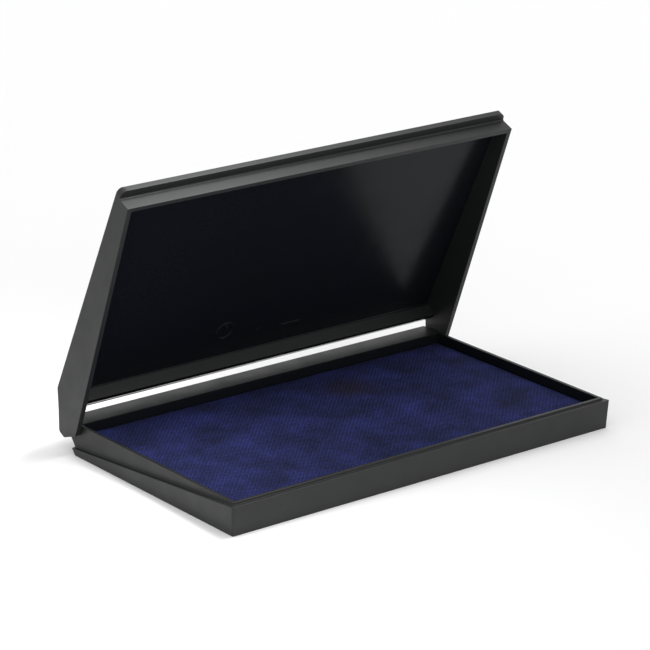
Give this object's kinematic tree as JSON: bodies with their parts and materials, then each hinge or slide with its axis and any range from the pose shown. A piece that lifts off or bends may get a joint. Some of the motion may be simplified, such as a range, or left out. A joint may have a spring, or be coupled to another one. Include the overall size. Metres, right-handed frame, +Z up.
{
  "type": "ink pad",
  "caption": "Inked cloth pad for rubber stamps in a shallow hinged case, with a wedge-sided lid, a finger lip and a sloped back edge.",
  "frame": {"origin": "centre of the flat underside of the tray", "axes": "+X along the hinge to the right, +Y from the finger lip to the hinge, +Z up"},
  "size_m": [0.1722, 0.1023, 0.1055],
  "materials": {
    "case_plastic": "satin black moulded plastic, fine texture outside, smoother inside",
    "board": "plain greyboard",
    "felt": "wool felt soaked in blue ink",
    "inked_cloth": "plain-woven cotton soaked in blue ink",
    "pin_steel": "drawn steel wire"
  },
  "bodies": {
    "tray": {"base_tray": "case_plastic", "backing_board": "board", "felt_reservoir": "felt", "transfer_fleece": "felt", "pad_cloth": "inked_cloth"},
    "lid": {"lid_shell": "case_plastic", "hinge_pin_left": "pin_steel", "hinge_pin_right": "pin_steel"}
  },
  "joints": [
    {"name": "lid_hinge", "type": "hinge", "parent": "tray", "child": "lid", "pos_m": [0, 0.0516, 0.0098], "axis": [-1, 0, 0], "range_deg": [-65, 115]}
  ]
}
